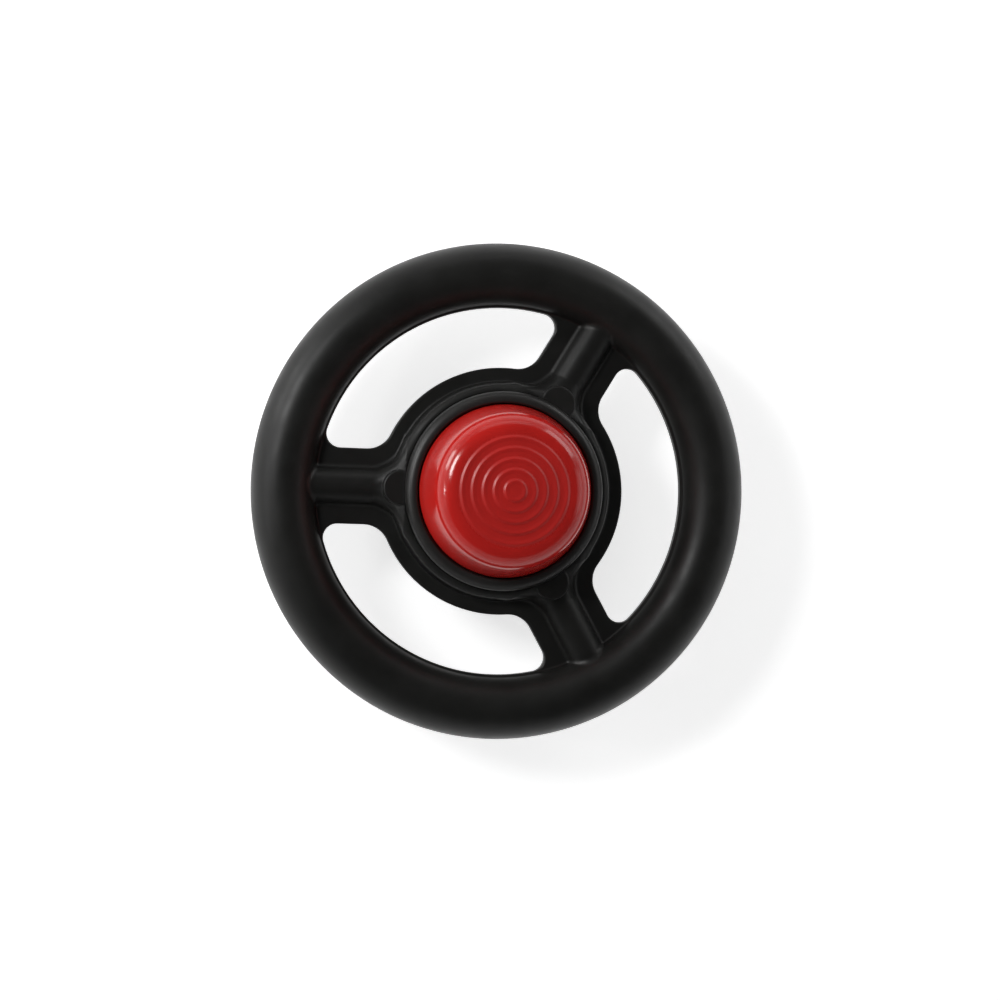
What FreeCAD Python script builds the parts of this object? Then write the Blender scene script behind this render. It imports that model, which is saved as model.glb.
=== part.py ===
import FreeCAD, Part
import math
import os
import re

import Sketcher
from FreeCAD import Placement, Rotation, Vector

# Play steering wheel with a sprung horn button, on a base plate with a pedestal.
# Millimetres. The wheel's axis is Z, the mounting face is z = 0, the button faces +Z.

doc = FreeCAD.newDocument("play_steering_wheel")
sheet = doc.addObject("Spreadsheet::Sheet", "Sizes")

DRIVING_SIZES = [
    # the wheel
    ("rim_plane", 52, "height of the rim's middle above the mounting face"),
    ("rim_radius", 131, "axis of the wheel to the middle of the rim's tube"),
    ("tube_radius", 19, "outside radius of the rim's tube"),
    ("moulded_wall", 3, "wall of the hollow rim"),
    ("web_half", 3, "half the thickness of the webs"),
    ("opening_outer", 111, "outer edge of the three openings"),
    ("opening_inner", 74.7, "inner edge of the three openings"),
    ("web_reach", 22.8, "spoke's middle to the side of an opening"),
    ("outer_corner", 8.5, "corner radius of an opening at the rim"),
    ("inner_corner", 16, "corner radius of an opening at the hub"),
    ("spoke_radius", 11.5, "radius of a spoke's round back"),
    ("spoke_turn", -2, "turn of the first spoke from the 180 degree line, degrees"),
    ("flare_radius", 20, "plan radius where a spoke flares into the hub drum"),
    # the hub drum
    ("drum_top_radius", 64, "drum at its top edge"),
    ("drum_radius", 66, "drum at the web"),
    ("drum_top", 67, "top of the lip around the collar"),
    ("drum_bottom", 34, "back face of the drum"),
    ("drum_edge", 2.5, "rounding of the drum's edges"),
    ("seat_radius", 60.1, "recess that the collar drops into"),
    ("seat_height", 65, "floor of that recess"),
    ("ledge_radius", 54.2, "bore for the collar's lower wall"),
    ("ledge_height", 60.5, "floor of that bore"),
    ("cup_radius", 50, "cup that holds the horn"),
    ("cup_floor", 46, "floor of the cup"),
    ("floor_under", 40, "underside of the cup's floor"),
    ("hub_boss_radius", 22, "boss around the bushes"),
    ("hub_boss_bottom", 31.5, "lower face of that boss"),
    ("bush_bore", 9, "bore for the bushes"),
    ("rib_width", 3, "ribs behind the cup's floor"),
    ("disc_radius", 10.5, "raised disc at each spoke root"),
    ("disc_place", 62, "axis to the middle of a disc"),
    ("disc_top", 68.4, "top of a disc"),
    # the collar and its screws
    ("collar_outer", 59.7, "collar's outside"),
    ("collar_round", 5.6, "rounding of the collar's outer edge"),
    ("collar_top", 75, "crest of the collar"),
    ("collar_bore", 52.3, "collar's bore around the button"),
    ("collar_wall", 53.9, "outside of the collar's lower wall"),
    ("lip_inner", 46, "inner edge of the lip that holds the button in"),
    ("lip_bottom", 60.9, "underside of the lip"),
    ("lip_thick", 2, "thickness of the lip"),
    ("screw_place", 56.8, "axis to a collar screw"),
    ("screw_seat", 58, "height that a collar screw's head bears on"),
    ("screw_length", 13, "length of a collar screw"),
    # the button
    ("button_radius", 51.5, "button at the collar"),
    ("skirt_bottom", 69.6, "lower edge of the button's skirt"),
    ("skirt_top", 75.5, "height where the side starts to lean in"),
    ("shoulder_low", 97, "height where the shoulder starts"),
    ("shoulder_radius", 16, "radius of the shoulder"),
    ("shoulder_lean", 8.5, "lean of the button's side, degrees"),
    ("button_wall", 2.5, "wall of the button"),
    ("ring_radius", 32.2, "outermost ring step"),
    ("ring_pitch", 6.3, "from one ring step to the next"),
    ("ring_rise", 0.5, "rise of each ring step"),
    ("travel", 6, "travel of the button"),
    ("stop_gap", 0.2, "gap left over the buffer ring at full travel"),
    ("post_place", 38, "axis to a post of the button"),
    ("post_radius", 4.5, "radius of a post"),
    ("spring_seat", 106, "underside of the pad that spring and bellows bear on"),
    # inside the button
    ("retainer_outer", 49, "retainer's outside"),
    ("retainer_inner", 24.5, "retainer's bore"),
    ("retainer_top", 60.7, "top of the retainer"),
    ("retainer_thick", 2.5, "thickness of the retainer"),
    ("tray_radius", 49.3, "tray's outside"),
    ("tray_thick", 2.5, "floor of the tray"),
    ("hat_radius", 21.5, "outside of the hat over the nut"),
    ("hat_top", 68.5, "roof of the hat"),
    ("tray_screw_place", 32, "axis to a tray screw"),
    ("buffer_inner", 42, "buffer ring's bore"),
    ("buffer_outer", 47.5, "buffer ring's outside"),
    ("spring_radius", 15.5, "middle radius of the spring's coil"),
    ("spring_wire", 0.8, "radius of the spring's wire"),
    ("bellows_crest", 13.2, "bellows at a crest"),
    ("bellows_root", 9.6, "bellows at a root"),
    ("bellows_wall", 1, "wall of the bellows"),
    ("reed_bore", 2.5, "bore of the reed holder"),
    # the axle and the base
    ("base_radius", 56, "flange of the base"),
    ("base_thick", 7, "thickness of the flange"),
    ("pedestal_foot", 33, "pedestal at the flange"),
    ("pedestal_head", 23, "pedestal at its top"),
    ("pedestal_top", 28, "top of the pedestal"),
    ("mount_place", 45, "axis to a mounting hole"),
    ("mount_hole", 3.25, "radius of a mounting hole"),
    ("mount_sink", 6.5, "radius of its countersink"),
    ("head_seat", 7.4, "height that the coach bolt's head bears on"),
    ("head_radius", 12.3, "coach bolt's head"),
    ("head_thick", 5.4, "height of that head"),
    ("neck_width", 10, "square neck of the coach bolt"),
    ("neck_length", 6, "length of the square neck"),
    ("bolt_radius", 5, "shank of the coach bolt"),
    ("bolt_end", 62.4, "end of the coach bolt"),
    ("sleeve_radius", 7, "outside of the spacer sleeve"),
    ("sleeve_top", 48.3, "top of the spacer sleeve"),
    ("running_gap", 0.05, "radial clearance of the bushes on the sleeve"),
    ("bush_flange", 15, "radius of a bush's flange"),
    ("flange_thick", 2, "thickness of a bush's flange"),
    ("bush_length", 7, "a bush's barrel"),
    ("washer_radius", 17, "thrust washers"),
    ("lower_washer", 1.5, "thickness of the lower thrust washer"),
    ("upper_washer", 2, "thickness of the upper thrust washer"),
    ("nut_flats", 17, "across the flats of the lock nut"),
    ("nut_height", 10, "height of the lock nut"),
]

for row, (alias, value, note) in enumerate(DRIVING_SIZES, start=1):
    sheet.set(f"A{row}", note)
    sheet.set(f"B{row}", str(value))
    sheet.setAlias(f"B{row}", alias)
doc.recompute()


def size(alias):
    """A driving size as a number."""
    return float(sheet.get(alias))


ALIASES = {alias for alias, _, _ in DRIVING_SIZES}
SPOKES = [180 + size("spoke_turn") + 120 * turn for turn in range(3)]
BETWEEN_SPOKES = [angle + 60 for angle in SPOKES]


def bound(expression):
    """An expression in the sheet's aliases, written as other objects refer to them."""

    def named(word):
        return f"Sizes.{word[0]}" if word[0] in ALIASES else word[0]

    return re.sub("[a-z_]+", named, expression)


def number(expression):
    """The value of an expression written with the sheet's aliases."""
    value = sheet.evalExpression(bound(expression))
    return float(getattr(value, "Value", value))


# ---- small helpers for bound primitives, turned profiles and booleans ----


def stand(item, bottom, place="0", angle=0):
    """Puts an item at a height, at a distance from the axis in a direction."""
    item.setExpression("Placement.Base.x", bound(f"({place}) * cos({angle})"))
    item.setExpression("Placement.Base.y", bound(f"({place}) * sin({angle})"))
    item.setExpression("Placement.Base.z", bound(bottom))


def cylinder(name, radius, bottom, top, place="0", angle=0):
    item = doc.addObject("Part::Cylinder", name)
    item.setExpression("Radius", bound(radius))
    item.setExpression("Height", bound(f"({top}) - ({bottom})"))
    stand(item, bottom, place, angle)
    return item


def cone(name, low_radius, high_radius, bottom, top, place="0", angle=0):
    item = doc.addObject("Part::Cone", name)
    item.setExpression("Radius1", bound(low_radius))
    item.setExpression("Radius2", bound(high_radius))
    item.setExpression("Height", bound(f"({top}) - ({bottom})"))
    stand(item, bottom, place, angle)
    return item


def tube(name, outer, inner, bottom, top):
    return cut(name, cylinder(name + "_outer", outer, bottom, top),
               [cylinder(name + "_bore", inner, bottom, top)])


def bar(name, low, high, angle=0):
    """A box between two corners, each three expressions, turned about the axis."""
    item = doc.addObject("Part::Box", name)
    for edge, first, last in zip(("Length", "Width", "Height"), low, high, strict=True):
        item.setExpression(edge, bound(f"({last}) - ({first})"))
    corner = Vector(*[number(value) for value in low])
    turn = Rotation(Vector(0, 0, 1), angle)
    item.Placement = Placement(turn.multVec(corner), turn)
    return item


def fused(name, items):
    item = doc.addObject("Part::MultiFuse", name)
    item.Shapes = items
    item.Refine = True
    return item


def cut(name, base, tools):
    item = doc.addObject("Part::Cut", name)
    item.Base = base
    item.Tool = tools[0] if len(tools) == 1 else fused(name + "_tools", tools)
    item.Refine = True
    return item


def rounded(name, base, radius, wanted):
    """A fillet on the edges of base for which wanted(edge) is true."""
    doc.recompute()
    edges = [
        (index, radius, radius)
        for index, edge in enumerate(base.Shape.Edges, start=1)
        if wanted(edge)
    ]
    item = doc.addObject("Part::Fillet", name)
    item.Base = base
    item.Edges = edges
    return item


def arc_between(start, end, radius, side):
    """A circular arc from start to end that bulges to the left (1) or right (-1)."""
    chord = end - start
    half = chord.Length / 2
    across = Vector(-chord.y, chord.x, 0).normalize()
    reach = math.sqrt(max(radius * radius - half * half, 0))
    centre = (start + end) * 0.5 - across * (side * reach)
    first, last = (start, end) if side < 0 else (end, start)
    angles = [math.atan2(p.y - centre.y, p.x - centre.x) for p in (first, last)]
    circle = Part.Circle(centre, Vector(0, 0, 1), radius)
    return Part.ArcOfCircle(circle, *angles), side < 0


def origin_feature(body, role):
    """An origin plane or axis of a body."""
    return next(f for f in body.Origin.OriginFeatures if f.Role == role)


def outline_sketch(body, name, role, outline):
    """A closed sketch. Each point is two expressions, and an arc to the next point adds
    its radius and the side that it bulges to."""
    sketch = body.newObject("Sketcher::SketchObject", name)
    sketch.AttachmentSupport = (origin_feature(body, role), [""])
    sketch.MapMode = "FlatFace"
    corners = [Vector(number(point[0]), number(point[1]), 0) for point in outline]
    starts = []
    ends = []
    for index, point in enumerate(outline):
        start = corners[index]
        end = corners[(index + 1) % len(corners)]
        forward = True
        curve = Part.LineSegment(start, end)
        if len(point) > 2:
            curve, forward = arc_between(start, end, number(point[2]), point[3])
        sketch.addGeometry(curve, False)
        starts.append(1 if forward else 2)
        ends.append(2 if forward else 1)
        if len(point) > 2:
            fix(sketch, ("Radius", index), point[2])
    for index, point in enumerate(outline):
        before = (index - 1) % len(outline)
        sketch.addConstraint(
            Sketcher.Constraint("Coincident", before, ends[before], index, starts[index])
        )
        for kind, axis, value in (("DistanceX", -2, point[0]), ("DistanceY", -1, point[1])):
            if abs(number(value)) < 1e-9:
                on_axis = Sketcher.Constraint("PointOnObject", index, starts[index], axis)
                sketch.addConstraint(on_axis)
            else:
                fix(sketch, (kind, -1, 1, index, starts[index]), value)
    return sketch


def fix(sketch, constraint, expression):
    """A dimension of a sketch that follows the sheet."""
    index = sketch.addConstraint(Sketcher.Constraint(*constraint, number(expression)))
    sketch.setExpression(f"Constraints[{index}]", bound(expression))


def turned(name, outline):
    """A body turned about the wheel's axis from radius and height points."""
    body = doc.addObject("PartDesign::Body", name)
    sketch = outline_sketch(body, name + "_outline", "XZ_Plane", outline)
    turn = body.newObject("PartDesign::Revolution", name + "_turn")
    turn.Profile = sketch
    turn.ReferenceAxis = (sketch, ["V_Axis"])
    turn.Angle = 360
    body.Tip = turn
    return body


def screw(name, place, angle, head, length, up=True, shank="1.45"):
    """A pan-head screw whose head bears on the height head; up means its tip is above."""
    way = 1 if up else -1
    parts = [
        cylinder_between(name + "_head", "2.8", head, f"({head}) - {way} * 1.9", place, angle),
        cylinder_between(
            name + "_shank", shank, head, f"({head}) + {way} * ({length} - 2)", place, angle
        ),
    ]
    tip = f"({head}) + {way} * ({length} - 2)"
    end = f"({head}) + {way} * ({length})"
    if up:
        parts.append(cone(name + "_tip", shank, "0.3", tip, end, place, angle))
    else:
        parts.append(cone(name + "_tip", "0.3", shank, end, tip, place, angle))
    return fused(name, parts)


def cylinder_between(name, radius, one, other, place, angle):
    """A cylinder between two heights given in either order."""
    if number(one) > number(other):
        one, other = other, one
    return cylinder(name, radius, one, other, place, angle)


# ---- the base and the axle ----


def make_base():
    """Flange and pedestal, with mounting holes and the coach bolt's seat underneath."""
    block = turned("base_block", [
        ("0", "0"),
        ("base_radius - 0.8", "0"),
        ("base_radius", "0.8"),
        ("base_radius", "base_thick - 2", "2", -1),
        ("base_radius - 2", "base_thick"),
        ("pedestal_foot + 4", "base_thick", "5", 1),
        ("pedestal_foot - 0.6", "base_thick + 4"),
        ("pedestal_head + 1", "pedestal_top - 1.5", "1.8", -1),
        ("pedestal_head - 0.6", "pedestal_top"),
        ("0", "pedestal_top"),
    ])
    tools = [
        cylinder("bolt_head_pocket", "head_radius + 0.7", "0", "head_seat"),
        cylinder("bolt_hole", "bolt_radius + 0.2", "0", "pedestal_top"),
        bar("neck_hole",
            ["-neck_width / 2 - 0.15", "-neck_width / 2 - 0.15", "head_seat"],
            ["neck_width / 2 + 0.15", "neck_width / 2 + 0.15", "head_seat + neck_length + 0.4"],
            SPOKES[0]),
    ]
    for count in range(4):
        angle = 45 + 90 * count
        tools.append(cylinder(f"mount_hole_{count}", "mount_hole", "0", "base_thick",
                              "mount_place", angle))
        tools.append(cone(f"mount_sink_{count}", "mount_hole", "mount_sink",
                          "base_thick - (mount_sink - mount_hole)", "base_thick",
                          "mount_place", angle))
    for count in range(6):
        tools.append(core_pocket(f"core_{count}", 60 * count))
    return cut("base_plate", block, tools)


def core_pocket(name, angle):
    """One of the coring pockets in the base's underside, between its radial ribs."""
    pocket = doc.addObject("Part::Cut", name)
    pocket.Base = cylinder(name + "_round", "pedestal_foot - 3", "0", "base_thick - 2")
    pocket.Tool = fused(name + "_rest", [
        cylinder(name + "_middle", "head_radius + 3.7", "0", "base_thick - 2"),
        bar(name + "_one", ["-base_radius", "-base_radius", "0"],
            ["base_radius", "2", "base_thick - 2"], angle),
        bar(name + "_two", ["-base_radius", "-2", "0"],
            ["base_radius", "base_radius", "base_thick - 2"], angle + 60),
    ])
    return pocket


def make_axle():
    """Coach bolt, crush sleeve, thrust washers, bushes and the lock nut with its ring."""
    head = turned("coach_bolt_head", [
        ("0", "head_seat - head_thick"),
        ("4", "head_seat - head_thick", "18", -1),
        ("head_radius", "head_seat - 1.4"),
        ("head_radius", "head_seat"),
        ("0", "head_seat"),
    ])
    half = "neck_width / 2"
    neck = bar("coach_bolt_neck", [f"-{half}", f"-{half}", "head_seat - 1"],
               [half, half, "head_seat + neck_length"], SPOKES[0])
    shank = cylinder("coach_bolt_shank", "bolt_radius", "head_seat", "bolt_end - 1")
    end = cone("coach_bolt_end", "bolt_radius", "bolt_radius - 1", "bolt_end - 1", "bolt_end")
    bolt = fused("coach_bolt", [head, neck, shank, end])

    sleeve = tube("spacer_sleeve", "sleeve_radius", "bolt_radius + 0.15",
                  "pedestal_top", "sleeve_top")
    lower_washer = tube("lower_thrust_washer", "washer_radius", "sleeve_radius + 0.2",
                        "pedestal_top", "pedestal_top + lower_washer")
    upper_washer = tube("upper_thrust_washer", "washer_radius", "bolt_radius + 0.2",
                        "sleeve_top", "sleeve_top + upper_washer")
    lower_bush = turned("lower_bush", [
        ("sleeve_radius + running_gap", "hub_boss_bottom - flange_thick"),
        ("bush_flange", "hub_boss_bottom - flange_thick"),
        ("bush_flange", "hub_boss_bottom"),
        ("bush_bore", "hub_boss_bottom"),
        ("bush_bore", "hub_boss_bottom + bush_length"),
        ("sleeve_radius + running_gap", "hub_boss_bottom + bush_length"),
    ])
    upper_bush = turned("upper_bush", [
        ("sleeve_radius + running_gap", "cup_floor - bush_length"),
        ("bush_bore", "cup_floor - bush_length"),
        ("bush_bore", "cup_floor"),
        ("bush_flange", "cup_floor"),
        ("bush_flange", "cup_floor + flange_thick"),
        ("sleeve_radius + running_gap", "cup_floor + flange_thick"),
    ])
    return [bolt, sleeve, lower_washer, upper_washer, lower_bush, upper_bush, *make_nut()]


def make_nut():
    """The lock nut: a hexagon, a round collar, and a nylon ring held in the collar."""
    seat = "sleeve_top + upper_washer"
    top = f"{seat} + nut_height"
    hexagon = doc.addObject("Part::Prism", "lock_nut_hexagon")
    hexagon.Polygon = 6
    hexagon.setExpression("Circumradius", bound("nut_flats / 2 / cos(30)"))
    hexagon.setExpression("Height", bound("nut_height - 2.5"))
    stand(hexagon, seat)
    shape = fused("lock_nut_shape", [
        hexagon,
        cylinder("lock_nut_collar", "nut_flats / 2 - 0.7", f"{top} - 3", top),
    ])
    nut = cut("lock_nut", shape, [
        cylinder("lock_nut_thread", "bolt_radius + 0.02", seat, top),
        cylinder("lock_nut_groove", "bolt_radius + 1.8", f"{top} - 2.4", f"{top} - 0.4"),
        cylinder("lock_nut_mouth", "bolt_radius + 1", f"{top} - 1", top),
    ])
    ring = tube("lock_nut_ring", "bolt_radius + 1.8", "bolt_radius + 0.01",
                f"{top} - 2.4", f"{top} - 0.4")
    return [nut, ring]


# ---- the wheel ----


def make_web():
    """The flat web between the rim and the hub, with its three openings."""
    web = doc.addObject("PartDesign::Body", "web")
    plate_sketch = web.newObject("Sketcher::SketchObject", "web_plate_outline")
    plate_sketch.AttachmentSupport = (origin_feature(web, "XY_Plane"), [""])
    plate_sketch.MapMode = "FlatFace"
    reach = "rim_radius - tube_radius / 2"
    circle = Part.Circle(Vector(0, 0, 0), Vector(0, 0, 1), number(reach))
    plate_sketch.addGeometry(circle, False)
    plate_sketch.addConstraint(Sketcher.Constraint("Coincident", 0, 3, -1, 1))
    fix(plate_sketch, ("Radius", 0), reach)
    plate_sketch.setExpression("AttachmentOffset.Base.z", bound("rim_plane"))
    plate = web.newObject("PartDesign::Pad", "web_plate")
    plate.Profile = plate_sketch
    plate.setExpression("Length", bound("2 * web_half"))
    plate.Midplane = True
    doc.recompute()

    opening_sketch = opening_outline(web)
    opening = web.newObject("PartDesign::Pocket", "web_opening")
    opening.Profile = opening_sketch
    opening.Type = 1
    opening.Midplane = True
    doc.recompute()
    pattern = web.newObject("PartDesign::PolarPattern", "web_openings")
    pattern.Originals = [opening]
    pattern.Axis = (origin_feature(web, "Z_Axis"), [""])
    pattern.Angle = 360
    pattern.Occurrences = 3
    web.Tip = pattern
    doc.recompute()

    def opening_edge(edge):
        """True for the edges around the openings, on either face."""
        middle = edge.valueAt((edge.FirstParameter + edge.LastParameter) / 2)
        flat = edge.BoundBox.ZLength < 1e-6
        inside = math.hypot(middle.x, middle.y) < size("opening_outer") + 0.5
        return flat and inside

    return rounded("web_rounded", web, size("web_half") / 3, opening_edge)


def opening_outline(web):
    """One opening: two arcs about the axis, two sides along the spokes, four corners.
    It lies between the first spoke and the next one, turned so that its middle is on +X."""
    reach = size("web_reach")
    rim_side = size("opening_outer")
    hub_side = size("opening_inner")
    turn = math.radians(SPOKES[0] + 60)

    def corner(radius, distance):
        """Centre and the two tangent points of a corner, in the opening's own frame."""
        across = reach + radius
        along = math.sqrt(distance * distance - across * across)
        spoke = math.radians(60)
        way = Vector(math.cos(spoke), math.sin(spoke), 0)
        side = Vector(math.sin(spoke), -math.cos(spoke), 0)
        centre = way * along + side * across
        on_side = way * along + side * reach
        return centre, on_side

    outer_centre, outer_side = corner(size("outer_corner"), rim_side - size("outer_corner"))
    inner_centre, inner_side = corner(size("inner_corner"), hub_side + size("inner_corner"))
    outer_end = Vector(outer_centre).normalize() * rim_side
    inner_end = Vector(inner_centre).normalize() * hub_side

    def mirrored(point):
        return Vector(point.x, -point.y, 0)

    def placed(point):
        return Rotation(Vector(0, 0, 1), math.degrees(turn)).multVec(point)

    def arc(first, centre, last, radius):
        """The shorter arc from first to last about centre."""
        middle = (first + last) * 0.5 - centre
        through = centre + middle.normalize() * radius
        return Part.Arc(placed(first), placed(through), placed(last))

    axis = Vector(0, 0, 0)
    corner_out = size("outer_corner")
    corner_in = size("inner_corner")
    curves = [
        arc(mirrored(outer_end), axis, outer_end, rim_side),
        arc(outer_end, outer_centre, outer_side, corner_out),
        Part.LineSegment(placed(outer_side), placed(inner_side)),
        arc(inner_side, inner_centre, inner_end, corner_in),
        arc(inner_end, axis, mirrored(inner_end), hub_side),
        arc(mirrored(inner_end), mirrored(inner_centre), mirrored(inner_side), corner_in),
        Part.LineSegment(placed(mirrored(inner_side)), placed(mirrored(outer_side))),
        arc(mirrored(outer_side), mirrored(outer_centre), mirrored(outer_end), corner_out),
    ]
    sketch = web.newObject("Sketcher::SketchObject", "web_opening_outline")
    sketch.AttachmentSupport = (origin_feature(web, "XY_Plane"), [""])
    sketch.MapMode = "FlatFace"
    sketch.setExpression("AttachmentOffset.Base.z", bound("rim_plane"))
    sketch.addGeometry(curves, False)
    for index in range(len(curves)):
        sketch.addConstraint(Sketcher.Constraint("Block", index))
    return sketch


def flare_section(along, half_width, half_height, corner):
    """A rounded rectangle across a spoke, at a distance from the axis."""
    straight = half_width - corner
    upright = half_height - corner
    slant = corner * math.sqrt(0.5)
    middle = size("rim_plane")

    def at(across, up):
        return Vector(along, across, middle + up)

    edges = []
    for quarter in range(4):
        right = 1 if quarter in (0, 3) else -1
        upper = 1 if quarter in (0, 1) else -1
        on_side = at(right * half_width, upper * upright)
        on_slant = at(right * (straight + slant), upper * (upright + slant))
        on_face = at(right * straight, upper * half_height)
        stops = [on_side, on_slant, on_face]
        if quarter in (1, 3):
            stops.reverse()
        if edges:
            edges.append(Part.LineSegment(edges[-1].EndPoint, stops[0]))
        edges.append(Part.Arc(*stops))
    edges.append(Part.LineSegment(edges[-1].EndPoint, edges[0].StartPoint))
    return Part.Wire([edge.toShape() for edge in edges])


def make_spoke(count, angle):
    """A round-backed spoke that widens and rises into the hub drum, both faces alike."""
    spoke = size("spoke_radius")
    flare = size("flare_radius")
    across = spoke + flare
    start = math.sqrt((size("drum_top_radius") + flare) ** 2 - across**2)
    inner = size("drum_top_radius") * start / (size("drum_top_radius") + flare)
    outer = size("rim_radius") - size("tube_radius") / 3
    rise = size("drum_top") - size("rim_plane") - spoke - 0.4
    flared = 7
    step = (start - inner) / flared
    straight = int((outer - start) / step)
    wires = []
    for count_out in range(straight, 0, -1):
        wires.append(flare_section(start + count_out * step, spoke, spoke, spoke - 0.3))
    for count_in in range(flared + 1):
        share = count_in / flared
        along = start - count_in * step
        half_width = across - math.sqrt(flare**2 - (start - along) ** 2)
        half_height = spoke + rise * (3 * share**2 - 2 * share**3)
        corner = (spoke - 0.3) * (1 - share) + 5 * share
        wires.append(flare_section(along, half_width, half_height, corner))
    wires.append(flare_section(inner - step, half_width + 3, half_height, 5))
    item = doc.addObject("Part::Feature", f"spoke_{count}")
    item.Shape = Part.makeLoft(wires, True, False)
    item.Placement = Placement(Vector(0, 0, 0), Rotation(Vector(0, 0, 1), angle))
    return item


def ring(name, radius):
    """A ring of round section around the rim's middle line."""
    item = doc.addObject("Part::Torus", name)
    item.setExpression("Radius1", bound("rim_radius"))
    item.setExpression("Radius2", bound(radius))
    stand(item, "rim_plane")
    return item


def make_wheel():
    """The blow-moulded wheel, with its hollow rim, its spokes and its hub."""
    drum = turned("drum", [
        ("0", "drum_bottom"),
        ("drum_radius - 1.6 - drum_edge", "drum_bottom", "drum_edge", -1),
        ("drum_radius - 1.6", "drum_bottom + drum_edge"),
        ("drum_radius", "rim_plane - web_half"),
        ("drum_radius", "rim_plane + web_half"),
        ("drum_top_radius", "drum_top - drum_edge", "drum_edge", -1),
        ("drum_top_radius - drum_edge", "drum_top"),
        ("0", "drum_top"),
    ])
    boss = cylinder("hub_boss", "hub_boss_radius", "hub_boss_bottom", "cup_floor")
    solids = [ring("rim", "tube_radius"), make_web(), drum, boss]
    tools = [make_cup(), make_back_recess(), ring("rim_hollow", "tube_radius - moulded_wall")]
    for count, angle in enumerate(SPOKES):
        solids.append(make_spoke(count, angle))
        solids.append(make_disc(count, angle))
        tools.append(cylinder(f"collar_screw_hole_{count}", "1.6", "screw_seat - 0.5",
                              "seat_height + 0.5", "screw_place", angle))
        tools.append(cylinder(f"collar_screw_way_{count}", "3.5", "drum_bottom - 1",
                              "screw_seat", "screw_place", angle))
        tools.append(cylinder(f"tray_pilot_{count}", "1.3", "floor_under + 0.8",
                              "cup_floor + 0.5", "tray_screw_place", angle))
    tools.append(cylinder("vent_hole", "4", "rim_plane - tube_radius - 1",
                          "rim_plane - tube_radius + 5", "rim_radius", BETWEEN_SPOKES[0]))
    tools.append(cylinder("vent_face", "7", "rim_plane - tube_radius - 1",
                          "rim_plane - tube_radius + 0.6", "rim_radius", BETWEEN_SPOKES[0]))
    return cut("wheel_body", fused("wheel_outside", solids), tools)


def make_disc(count, angle):
    """A raised round disc on a spoke's root; the collar covers its inner part."""
    disc = cylinder(f"disc_{count}", "disc_radius", "rim_plane", "disc_top",
                    "disc_place", angle)

    def top_edge(edge):
        return edge.BoundBox.ZMin > size("disc_top") - 0.01

    return rounded(f"disc_rounded_{count}", disc, 0.9, top_edge)


def make_cup():
    """The space in the hub's front: the collar's seat, the cup, and the bushes' bore."""
    return turned("cup_space", [
        ("0", "hub_boss_bottom - 1"),
        ("bush_bore", "hub_boss_bottom - 1"),
        ("bush_bore", "cup_floor"),
        ("cup_radius", "cup_floor"),
        ("cup_radius", "ledge_height"),
        ("ledge_radius", "ledge_height"),
        ("ledge_radius", "seat_height"),
        ("seat_radius", "seat_height"),
        ("seat_radius", "drum_top + 4"),
        ("0", "drum_top + 4"),
    ])


def make_back_recess():
    """The recess in the drum's back, with ribs left standing in it."""
    space = tube("recess_space", "cup_radius", "hub_boss_radius",
                 "drum_bottom - 1", "floor_under")
    ribs = [
        bar(f"rib_{count}",
            ["hub_boss_radius - 2", "-rib_width / 2", "drum_bottom - 1"],
            ["cup_radius + 2", "rib_width / 2", "floor_under + 1"],
            SPOKES[0] + 30 + 60 * count)
        for count in range(6)
    ]
    return cut("recess", space, ribs)


def make_vent_plug():
    """The plug in the hole that the wheel was blown through."""
    face = "rim_plane - tube_radius + 0.6"
    angle = BETWEEN_SPOKES[0]
    flange = cylinder("vent_plug_flange", "6.5", f"{face} - 1.6", face, "rim_radius", angle)
    stem = cylinder("vent_plug_stem", "3.95", face, f"{face} + 5", "rim_radius", angle)
    return fused("vent_plug", [flange, stem])


# ---- the collar and the button ----


def make_collar():
    """The ring around the button, with the lip that holds the button in."""
    block = turned("collar_block", [
        ("lip_inner", "lip_bottom"),
        ("collar_wall", "lip_bottom"),
        ("collar_wall", "seat_height"),
        ("collar_outer", "seat_height"),
        ("collar_outer", "collar_top - collar_round", "collar_round", -1),
        ("collar_outer - collar_round", "collar_top"),
        ("collar_bore + 1.5", "collar_top", "1.5", -1),
        ("collar_bore", "collar_top - 1.5"),
        ("collar_bore", "lip_bottom + lip_thick"),
        ("lip_inner", "lip_bottom + lip_thick"),
    ])
    pilots = [
        cylinder(f"collar_pilot_{count}", "1.45", "seat_height - 0.5",
                 "screw_seat + screw_length", "screw_place", angle)
        for count, angle in enumerate(SPOKES)
    ]
    return cut("bezel_ring", block, pilots)


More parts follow.
